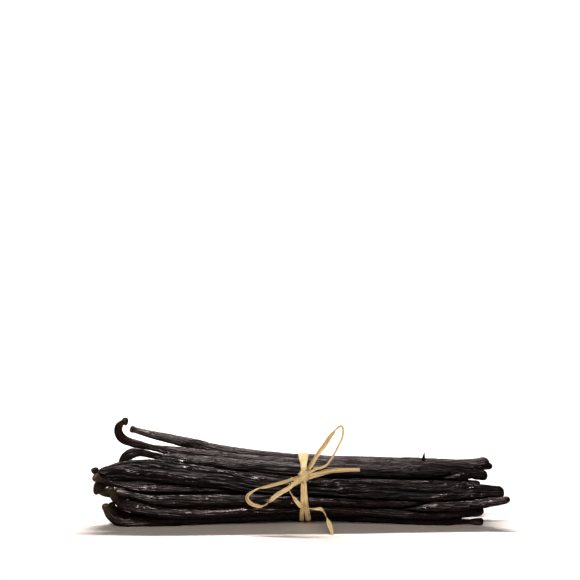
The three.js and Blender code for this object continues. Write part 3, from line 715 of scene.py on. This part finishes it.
def pod_relief(rng, distance, sides, grown):
    """Creases and lumps of a pod's skin in mm, over a grid of distances and sides."""
    turns, along = np.meshgrid(np.arange(sides) / sides, distance)
    turns = (turns + rng.uniform(-SKEW, SKEW) * along) % 1
    shrunk = rng.uniform(*SHRUNK)
    creases = sum(crease_lines(rng, along, turns, crease) for crease in CREASES)
    least, more, step, cells = PITTED
    pitted = least + more * smooth(*PITTED_FROM, noise_field(rng, along / step, turns, cells))
    lumps = sum(
        height * noise_field(rng, along / step, turns, cells) for cells, step, height in LUMPS)
    return shrunk * creases * grown[:, None], pitted * lumps * grown[:, None]


def pod_frame(shape, index, distance):
    """Centre, flat and thin directions and half sizes of a pod at distances from its stem end."""
    points, run, tie_run = pod_line(shape)
    length = run[-1]
    centre = along_line(points, run, distance)
    along = unit(along_line(points, run, distance + 0.5) - along_line(points, run, distance - 0.5))
    back = np.array([0.0, 1, 0])
    depth = unit(back - along * (along @ back)[:, None])
    rise = np.cross(along, depth)
    before = np.clip(1 - distance / tie_run, 0, 1)
    after = np.clip((distance - tie_run) / (length - tie_run), 0, 1)
    stem_roll, tie_roll, tip_roll = shape["roll"]
    roll = tie_roll + (stem_roll - tie_roll) * smooth(TWIST_FROM, 1, before)
    roll = (roll + (tip_roll - tie_roll) * smooth(TWIST_FROM, 1, after))[:, None]
    flat = depth * np.cos(roll) + rise * np.sin(roll)
    thin = rise * np.cos(roll) - depth * np.sin(roll)
    half_width, half_thickness = pod_girth(shape, distance, length)
    away = before + after
    sway = (WAVE_HEIGHT * away * smooth(0, WAVE_FADE, away))[:, None]
    phase = (distance / WAVE_LENGTH * TURN + index * WAVE_SHIFT)[:, None]
    centre = centre + depth * sway * np.sin(phase) + rise * sway * np.cos(phase * WAVE_RATIO)
    reach = np.hypot(half_width * flat[:, 2], half_thickness * thin[:, 2])
    near_tie = 1 - smooth(*TIE_SPREAD, np.abs(centre[:, 0] - TIE_X))
    lowest = reach - FLOOR_FLAT + (TIE_RAISE + FLOOR_FLAT) * near_tie
    centre[:, 2] = np.maximum(centre[:, 2], lowest)
    return centre, along, flat, thin, half_width, half_thickness


SECTION_SQUARE = 2.2  # above 2, a pod's section is squarer than an ellipse
PINCH = 1.1  # how far the skin stays back where another pod presses on it
PINCH_REACH = (0.9, -0.2)  # gaps to the other pod at which that starts and is full
CREST = 0.3  # how far the ridges between creases stand out
DEEP = 0.6  # a crease of this depth gets the full painted shade
END_RINGS = (0.1, 0.3, 0.6, 1, 1.5, 2)  # rings near an end, from the end
RELIEF_AT_STEM = 0.5  # share of the relief that is there
RELIEF_FADE = {"stem": (-0.4, 1.6), "tip": (-0.4, 2)}  # how far from an end it fades
SAG = (0.1, 0.1, 12)  # mean hollow of a flat side, how far it varies, and over which step
SAG_FADE = (8, 24)  # how far from the stem end it starts
UNEVEN = (0.05, 15)  # how far the width varies, and over which step
DEEPEST = 0.5  # no hollow goes deeper than this share of half the thickness
DRY_FADE = (1.5, 7)  # how far from the stem end the pale tone reaches
PLACE_STEP = 40  # from one pod's place in the patterns to the next one's
END_TONES = {"hollow": (0.6, 0.6), "tint": (0.5, 0.5)}  # at the points that close a pod, where hollow gives them some painted shade


def run_of(shape, index):
    """Where a pod runs between its curls, station by station towards +X."""
    length = pod_line(shape)[1][-1]
    distance = np.arange(shape["stem"]["curl"] + 1, length - shape["tip"]["curl"] - 1, 2)
    centre, _, flat, thin, half_width, half_thickness = pod_frame(shape, index, distance)
    order = np.argsort(centre[:, 0])
    sections = np.column_stack([centre, flat[:, 1:], thin[:, 1:], half_width, half_thickness])
    return sections[order]


def pressed(points, index):
    """From 0 to 1, how closely the other pods press on points of pod number index."""
    gap = np.full(points.shape[:-1], np.inf)
    for other, run in enumerate(POD_RUNS):
        if other == index:
            continue
        here = [np.interp(points[..., 0], run[:, 0], run[:, column]) for column in range(1, 9)]
        away_y, away_z = points[..., 1] - here[0], points[..., 2] - here[1]
        across = (away_y * here[2] + away_z * here[3]) / here[6]
        over = (away_y * here[4] + away_z * here[5]) / here[7]
        radius = np.maximum(np.hypot(across, over), 0.05)
        clear = np.hypot(away_y, away_z) * (1 - 1 / radius)
        beside = (points[..., 0] > run[0, 0]) & (points[..., 0] < run[-1, 0])
        gap = np.minimum(gap, np.where(beside, clear, np.inf))
    return 1 - smooth(PINCH_REACH[1], PINCH_REACH[0], gap)


def pod_skin_points(shape, index, ring_step, sides):
    """Points of one pod's wrinkled skin, ring by ring, what they carry, and how many rings."""
    rng = np.random.default_rng(SEEDS["pods"] + index)
    length = pod_line(shape)[1][-1]
    ends = np.array(END_RINGS)
    middle = np.arange(ends[-1] + ring_step, length - ends[-1] - ring_step / 2, ring_step)
    distance = np.concatenate([ends, middle, (length - ends)[::-1]])
    centre, along, flat, thin, half_width, half_thickness = pod_frame(shape, index, distance)

    turn = np.arange(sides) / sides * TURN
    grown = RELIEF_AT_STEM + (1 - RELIEF_AT_STEM) * smooth(1, shape["neck"], distance)
    grown *= smooth(*RELIEF_FADE["tip"], length - distance) * smooth(*RELIEF_FADE["stem"], distance)
    creases, lumps = pod_relief(rng, distance, sides, grown)
    cosine, sine = np.cos(turn), np.sin(turn)
    square = (np.abs(cosine) ** SECTION_SQUARE + np.abs(sine) ** SECTION_SQUARE)
    square = square ** (-1 / SECTION_SQUARE)
    mean, varied, step = SAG
    sag = (mean + varied * drift(rng, distance, step)) * smooth(*SAG_FADE, distance)
    sunk = 1 - sag[:, None] * sine ** 4
    varied, step = UNEVEN
    uneven = 1 + varied * drift(rng, distance, step)
    across = half_width[:, None] * cosine * square * uneven[:, None]
    over = half_thickness[:, None] * sine * square * sunk
    outward = np.stack([cosine[None] / half_width[:, None], sine[None] / half_thickness[:, None]])
    outward /= np.linalg.norm(outward, axis=0)
    bare = centre[:, None] + flat[:, None] * across[..., None] + thin[:, None] * over[..., None]
    held = pressed(bare, index)
    lift = CREST * grown[:, None] + lumps - creases - PINCH * held
    lift = np.maximum(lift, -DEEPEST * half_thickness[:, None])
    across = across + lift * outward[0]
    over = over + lift * outward[1]
    skin = centre[:, None] + flat[:, None] * across[..., None] + thin[:, None] * over[..., None]
    skin[..., 2] = np.maximum(skin[..., 2], FLOOR_GAP["pods"])
    first = centre[0] - along[0] * ends[0]
    last = centre[-1] + along[-1] * ends[0]

    def with_ends(grid, start=0, finish=0):
        return np.concatenate([[start], grid.ravel(), [finish]])

    from_stem = np.broadcast_to(distance[:, None], across.shape)
    apart = PLACE_STEP * index
    tones = {
        "place": np.stack([with_ends(grid) for grid in (from_stem + apart, across, over)], -1),
        # Mask of deep creases and places pressed by other pods: painted shade in the colour there,
        # and rougher gloss.
        "hollow": with_ends(np.clip(creases / DEEP + held, 0, 1), *END_TONES["hollow"]),
        "tint": with_ends(np.full_like(across, rng.uniform(0, 1)), *END_TONES["tint"]),
        "dry": with_ends(shape["dry"] * (1 - smooth(*DRY_FADE, from_stem)), shape["dry"]),
    }
    return np.vstack([first, skin.reshape(-1, 3), last]), tones, len(distance)


def add_pods(name, shapes, ring_step, sides):
    """One piece with the skins of one or several pods."""
    points, tones, faces = [], [], []
    count = 0
    for index, shape in shapes:
        skin, tone, rings = pod_skin_points(shape, index, ring_step, sides)
        faces += tube_faces(rings, sides, count)
        count += len(skin)
        points.append(skin)
        tones.append(tone)
    attributes = {label: np.concatenate([tone[label] for tone in tones]) for label in tones[0]}
    piece = add_mesh(name, np.vstack(points), faces, POD_SKIN, attributes)
    return mount(piece, "pods")


# Step along a pod and points round it, by how near to the outside it lies.
NEAR_GRID = (0.6, 112)
FAR_GRID = (0.85, 72)
HEART_GRID = (1.2, 44)

ALL_PODS = list(enumerate(NEAR_PODS + FAR_PODS + HEART_PODS))
POD_RUNS = [run_of(shape, index) for index, shape in ALL_PODS]
pod_pieces = [
    add_pods("pod_" + shape["name"], [(index, shape)],
             *(NEAR_GRID if index < len(NEAR_PODS) else FAR_GRID))
    for index, shape in ALL_PODS[:-len(HEART_PODS)]
]
pod_pieces.append(add_pods("pods_in_the_heart", ALL_PODS[-len(HEART_PODS):], *HEART_GRID))

CORE_GRID = (24, 36)  # rings, and points to each
SPUR_GRID = (12, 14)


def add_core():
    """The dark filling behind the pods."""
    rings, sides = CORE_GRID
    turn = np.arange(sides) / sides * TURN
    share = (np.arange(rings) + 0.5) / rings
    bulge = HEART_SHARE * np.sqrt(np.sin(math.pi * share))[:, None]
    depth, height = HEART["middle"]
    x = HEART["left"] + (HEART["right"] - HEART["left"]) * share
    across = depth + HEART["depth"] * bulge * np.cos(turn)
    over = height + HEART["height"] * bulge * np.sin(turn)
    skin = np.stack([np.broadcast_to(x[:, None], across.shape), across, over], -1).reshape(-1, 3)
    points = np.vstack([[HEART["left"], depth, height], skin, [HEART["right"], depth, height]])
    mount(add_mesh("core", points, tube_faces(rings, sides), POD_SKIN), "pods")


def add_spur():
    """The dry spur that stands on the top pod."""
    rng = np.random.default_rng(SEEDS["spur"])
    rings, sides = SPUR_GRID
    share = np.linspace(0, 1, rings)[:, None]
    turn = np.arange(sides) / sides * TURN
    ragged = 1 + SPUR["ragged"] * rng.uniform(-1, 1, (1, sides))
    radius = SPUR["width"] / 2 * (1 - share) ** SPUR["taper"] * ragged
    height = SPUR["foot"] + (SPUR["top"] - SPUR["foot"]) * share
    skin = np.stack([
        SPUR["x"] + SPUR["flat"] * radius * np.cos(turn) + SPUR["lean"] * share ** 2,
        SPUR["depth"] - radius * np.sin(turn),
        np.broadcast_to(height, radius.shape)], -1)[:-1].reshape(-1, 3)
    foot = [SPUR["x"], SPUR["depth"], SPUR["foot"]]
    points = np.vstack([foot, skin, [SPUR["x"] + SPUR["lean"], SPUR["depth"], SPUR["top"]]])
    faces = [face[::-1] for face in tube_faces(rings - 1, sides)]
    mount(add_mesh("dry_spur", points, faces, POD_SKIN), "pods")


add_core()
add_spur()

# ---- The wrap and its knot ----------------------------------------------------------


def held_skin():
    """Points of the pods under the wrap."""
    points = []
    for piece in pod_pieces:
        corners = np.empty((len(piece.data.vertices), 3))
        piece.data.vertices.foreach_get("co", corners.ravel())
        corners /= MM
        points.append(corners[np.abs(corners[:, 0] - TIE_X) < WRAP_HALF])
    return np.vstack(points)[:, 1:]


LOOP_STEPS = 240  # points on a turn of the wrap


def taut_loop(points, stand_off):
    """A closed line round (depth, height) points: where its tangents, each turned a step, meet."""
    headings = np.arange(LOOP_STEPS) / LOOP_STEPS * TURN
    ways = np.stack([np.cos(headings), np.sin(headings)], -1)
    reach = (points @ ways.T).max(0) + stand_off
    step = TURN / LOOP_STEPS
    after = np.roll(reach, -1)
    next_headings = headings + step
    depth = (reach * np.sin(next_headings) - after * np.sin(headings)) / math.sin(step)
    height = (after * np.cos(headings) - reach * np.cos(next_headings)) / math.sin(step)
    loop = np.stack([depth, height], -1)
    closed = np.vstack([loop, loop[:1]])
    run = running_length(closed)
    even = np.linspace(0, run[-1], LOOP_STEPS, endpoint=False)
    return np.stack([np.interp(even, run, closed[:, axis]) for axis in range(2)], -1)


# The turns of the wrap: where each crosses the top and the underside, its width there, how far it
# lies off the pods and how far it passes beside the knot's middle.
WRAP_TURNS = (
    {"over": 0, "under": 0.25, "over_wide": 2.7, "under_wide": 1.7, "off": 0.25, "shift": -0.5},
    {"over": 2, "under": 3.2, "over_wide": 2.5, "under_wide": 2.2, "off": 0.35, "shift": 0.4},
)
WRAP_CURL = -0.06


def add_wrap():
    """The strips that go round the bundle, gathered under the knot."""
    skin = held_skin()
    middle_depth, middle_height = HEART["middle"]
    knot_heading = math.atan2(KNOT["height"] - middle_height, KNOT["depth"] - middle_depth)
    for number, strap in enumerate(WRAP_TURNS):
        rng = np.random.default_rng(SEEDS["wrap"] + number)
        loop = taut_loop(skin, strap["off"])
        heading = np.arctan2(loop[:, 1] - middle_height, loop[:, 0] - middle_depth)
        turned = np.abs((heading - knot_heading + math.pi) % TURN - math.pi)
        gather = smooth(*STRAP_FUNNEL, turned)
        first = int(np.argmax(turned))
        up = (1 + np.sin(heading)) / 2
        place = strap["under"] + (strap["over"] - strap["under"]) * up
        wide = strap["under_wide"] + (strap["over_wide"] - strap["under_wide"]) * up
        x = KNOT["x"] + strap["shift"] + (place - KNOT["x"] - strap["shift"]) * gather
        pulled = STRAP_PULL * (1 - smooth(*PULL_FADE, turned))
        loop = loop + pulled[:, None] * np.stack([np.cos(heading), np.sin(heading)], -1)
        line = np.roll(np.column_stack([x, loop]), -first, 0)
        out = np.column_stack([0 * x, loop[:, 0] - middle_depth, loop[:, 1] - middle_height])
        widths = np.roll(KNOT_WAIST + (wide - KNOT_WAIST) * gather, -first)
        shares = running_length(line) / running_length(line)[-1]
        rings, place = strip_rings(rng, line, np.roll(out, -first, 0), list(zip(shares, widths)),
                                   NO_TWIST, 0.0, WRAP_CURL, closed=True)
        rings[..., 2] = np.maximum(rings[..., 2], FLOOR_GAP["wrap"])
        faces = band_faces(len(line), 2 * STRIP_SIDES, closed=True)
        piece = add_mesh("wrap_turn_%d" % (number + 1), rings.reshape(-1, 3), faces, RAFFIA,
                         {"place": place.reshape(-1, 3)})
        mount(piece, "raffia_wrap")


# Each strip of the knot: its name, seed, route and (share, width) stops, and how it curls.
KNOT_STRIPS = (
    ("knot_over", 31,
     ((-3.4, -20.6, 20.7), (-1.2, -21.8, 21.5), (0.9, -22.5, 22.4), (2.6, -21.6, 23.7),
      (3.9, -20, 25.2)),
     ((0, 1.5), (0.4, 2.3), (0.7, 2.1), (1, 1.5)), -0.35),
    ("knot_side", 32,
     ((-1.3, -19.9, 23.4), (0, -21.3, 22.8), (1.5, -21.9, 21.7), (2.9, -20.6, 21.2)),
     ((0, 1.3), (0.5, 1.8), (1, 1.5)), -0.3),
    ("knot_under", 33,
     ((0.3, -19.5, 24.3), (0.2, -20.9, 22.9), (0.9, -21.5, 21.2), (1.1, -20.2, 19.4)),
     ((0, 1.8), (0.5, 2.6), (1, 2)), -0.35),
)


def add_knot():
    """The strips that cross in the knot, and the short tail that leaves it to the right."""
    for name, seed, route, width, curl in KNOT_STRIPS:
        add_strip(name, seed, route, width, curl=curl)
    add_strip("right_tail", 34, RIGHT_TAIL, ((0, 2.3), (0.3, 2.3), (0.6, 1.8), (1, 1.6)),
              twist=((0, -20), (0.5, -34), (1, -28)), fold=0.5, curl=0.1)


add_wrap()
add_knot()

# ---- Floor and light, in metres -----------------------------------------------------

FLOOR = {"front": -2.2, "back": 0.9, "bend": 0.5, "half": 2.6, "top": 2.2, "steps": 17}
FLOOR_TONE = (0.93, 0.93, 0.93)
FLOOR_MIRRORED = (0.02, 0.02, 0.02)  # its tone as the pods' gloss reflects it
FLOOR_ROUGHNESS = 0.6
GLOW_FROM = (0.35, 0.9)  # how far from the bundle the floor starts to glow
ROOM_LIGHT = 0.03  # strength of the white room for all but the camera
GAMMA = 0.8  # below 1, for deep blacks

WHITE = (1, 1, 1)
WARM = (1, 0.94, 0.9)
WARMER = (1, 0.86, 0.76)
ROSY = (1, 0.88, 0.88)

# Each lamp: place, aim, sides, watts, colour, beam in degrees, and whether it lights the
# colours or shows in the gloss.
LAMPS = (
    ("key", (0, 0.44, 0.72), (0, 0, 0.01), (0.6, 0.05), 10, WARM, 180, "colours"),
    ("back_glint", (0, 0.44, 0.72), (0, 0, 0.01), (0.3, 0.025), 5, ROSY, 180, "gloss"),
    ("wall_wash", (0, 0.3, 1.8), (0, 1.3, 0.4), (2.2, 0.5), 14, WHITE, 80, "colours"),
    ("glint", (-0.2, -0.5, 0.8), (0, 0, 0.02), (0.25, 0.025), 12, ROSY, 180, "gloss"),
    ("front_fill", (0, -1, 0.6), (0, 0, 0.02), (1.4, 0.6), 9, WARMER, 180, "colours"),
)


def add_lamps():
    for name, at, aim, size, watts, colour, beam, lights in LAMPS:
        data = bpy.data.lights.new(name, "AREA")
        data.shape, data.size, data.size_y = "RECTANGLE", size[0], size[1]
        data.energy, data.color, data.spread = watts, colour, math.radians(beam)
        lamp = bpy.data.objects.new(name, data)
        lamp.visible_diffuse = lights == "colours"
        lamp.visible_glossy = lights == "gloss"
        lamp.location = at
        lamp.rotation_euler = (Vector(aim) - Vector(at)).to_track_quat("-Z", "Y").to_euler()
        bpy.context.scene.collection.objects.link(lamp)


def floor_finish():
    """Pale, dark in reflections, and glowing far from the bundle where the camera looks."""
    material, tree, shader = new_material("pale_floor")
    rays = add_node(tree, "ShaderNodeLightPath")
    tone = blend_colour(tree, rays.outputs["Is Glossy Ray"], FLOOR_TONE, FLOOR_MIRRORED)
    tree.links.new(tone, shader.inputs["Base Color"])
    shader.inputs["Roughness"].default_value = FLOOR_ROUGHNESS
    place = add_node(tree, "ShaderNodeNewGeometry").outputs["Position"]
    distance = add_node(tree, "ShaderNodeVectorMath", {0: place}, operation="LENGTH")
    far = add_node(tree, "ShaderNodeMapRange", {
        0: distance.outputs["Value"], 1: GLOW_FROM[0], 2: GLOW_FROM[1]},
        interpolation_type="SMOOTHSTEP")
    glow = maths(tree, "MULTIPLY", far.outputs[0], rays.outputs["Is Camera Ray"])
    tree.links.new(glow, shader.inputs["Emission Color"])
    shader.inputs["Emission Strength"].default_value = 1
    return material


def add_floor():
    """A floor that sweeps up behind."""
    back, bend = FLOOR["back"], FLOOR["bend"]
    profile = [(FLOOR["front"], 0)]
    for turn in np.linspace(0, math.pi / 2, FLOOR["steps"]):
        profile.append((back + bend * math.sin(turn), bend * (1 - math.cos(turn))))
    profile.append((back + bend, FLOOR["top"]))
    points = [(side * FLOOR["half"], y, z) for y, z in profile for side in (-1, 1)]
    faces = [(2 * i, 2 * i + 1, 2 * i + 3, 2 * i + 2) for i in range(len(profile) - 1)]
    add_mesh("floor", points, faces, floor_finish(), scale=1)


def add_room():
    """White where the camera sees it, and nearly dark for everything else."""
    world = bpy.data.worlds.new("white_room")
    world.use_nodes = True
    tree = world.node_tree
    background = tree.nodes["Background"]
    background.inputs["Color"].default_value = (*WHITE, 1)
    seen = add_node(tree, "ShaderNodeLightPath").outputs["Is Camera Ray"]
    strength = maths(tree, "MULTIPLY_ADD", seen, 1 - ROOM_LIGHT, ROOM_LIGHT)
    tree.links.new(strength, background.inputs["Strength"])
    bpy.context.scene.world = world


add_floor()
add_room()
add_lamps()
view = bpy.context.scene.view_settings
view.view_transform = "Standard"
view.gamma = GAMMA
